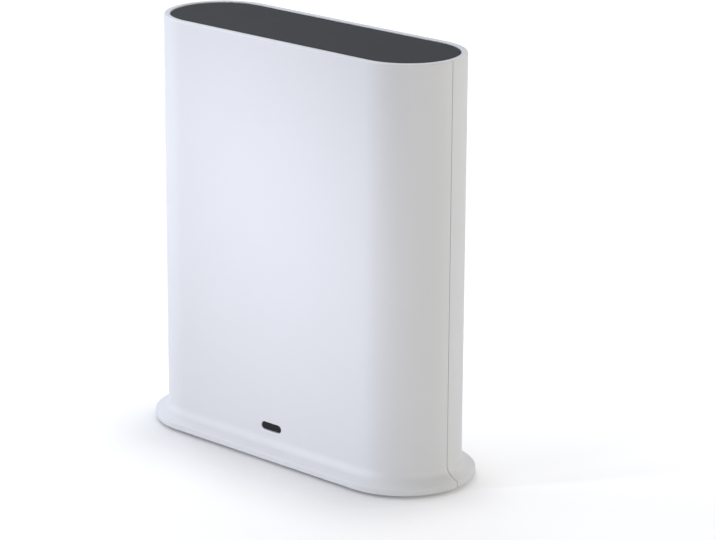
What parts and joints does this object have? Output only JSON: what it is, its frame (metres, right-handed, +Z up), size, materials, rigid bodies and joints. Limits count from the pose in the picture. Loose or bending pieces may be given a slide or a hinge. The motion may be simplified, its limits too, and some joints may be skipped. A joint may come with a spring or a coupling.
{
  "type": "security camera base station",
  "caption": "Free-standing obround base station with a flared foot, dark inset top plate, status window, rear network, USB and power sockets, sync button and reset pinhole.",
  "frame": {"origin": "middle of the foot pad's underside, on the surface that the station stands on", "axes": "+Z up, +X to the right seen from the front, +Y towards the back with the sockets; the front faces -Y"},
  "size_m": [0.1198, 0.0444, 0.131],
  "materials": {
    "white_case": "satin",
    "charcoal_plate": "fine matte texture",
    "base_plastic": "matte",
    "rubber_pad": "matte",
    "smoked_lens": "gloss",
    "clear_pipe": "clear",
    "black_plastic": "matte",
    "lamp": "gloss",
    "circuit_board": "solder mask",
    "chip_black": "moulded",
    "tin_plate": "tinned",
    "screw_steel": "zinc plated",
    "spreader_aluminium": "extruded",
    "capacitor_can": "drawn",
    "ferrite": "sintered",
    "gold_contact": "gold plated",
    "soft_pad": "soft",
    "foam_tape": "foam",
    "lead_jacket": "smooth",
    "socket_white": "moulded",
    "button_plastic": "satin",
    "plunger_plastic": "moulded"
  },
  "bodies": {
    "casing": {"front_shell": "white_case", "rear_shell": "white_case", "top_plate": "charcoal_plate", "base_plate": "base_plastic", "foot_pad": "rubber_pad", "base_screws": "screw_steel", "led_window": "smoked_lens", "light_pipe": "clear_pipe", "light_shroud": "black_plastic", "status_led": "lamp", "main_board": "circuit_board", "board_screws": "screw_steel", "processor": "chip_black", "memory_chips": "chip_black", "flash_chip": "chip_black", "thermal_pad": "soft_pad", "heat_spreader": "spreader_aluminium", "spreader_screws": "screw_steel", "wifi_shield_can": "tin_plate", "radio_shield_can": "tin_plate", "lan_transformer": "chip_black", "power_inductors": "ferrite", "bulk_capacitors": "capacitor_can", "clock_crystals": "tin_plate", "ethernet_housing": "black_plastic", "ethernet_shield": "tin_plate", "ethernet_contacts": "gold_contact", "usb_shell": "tin_plate", "usb_insulator": "socket_white", "usb_contacts": "gold_contact", "power_jack_body": "black_plastic", "power_jack_pin": "tin_plate", "power_jack_spring": "gold_contact", "sync_switch_body": "black_plastic", "reset_switch_body": "black_plastic", "antenna_left": "circuit_board", "antenna_right": "circuit_board", "antenna_top": "circuit_board", "antenna_tapes": "foam_tape", "antenna_lead_left": "lead_jacket", "antenna_lead_right": "lead_jacket", "antenna_lead_top": "lead_jacket", "antenna_sockets": "gold_contact", "antenna_plugs": "gold_contact"},
    "sync_cap": {"sync_button": "button_plastic"},
    "sync_plunger": {"sync_switch_plunger": "plunger_plastic"},
    "reset_plunger": {"reset_switch_plunger": "plunger_plastic"}
  },
  "joints": [
    {"name": "sync_press", "type": "slide", "parent": "casing", "child": "sync_cap", "axis": [0, -1, 0], "range_m": [0, 0.0004], "stiffness_N_per_m": 4000},
    {"name": "sync_switch_press", "type": "slide", "parent": "casing", "child": "sync_plunger", "axis": [0, -1, 0], "range_m": [0, 0.0004]},
    {"name": "reset_press", "type": "slide", "parent": "casing", "child": "reset_plunger", "axis": [0, -1, 0], "range_m": [0, 0.00025], "stiffness_N_per_m": 4000}
  ],
  "couplings": [
    {"joint": "sync_switch_press", "follows": "sync_press", "ratio": 1}
  ]
}
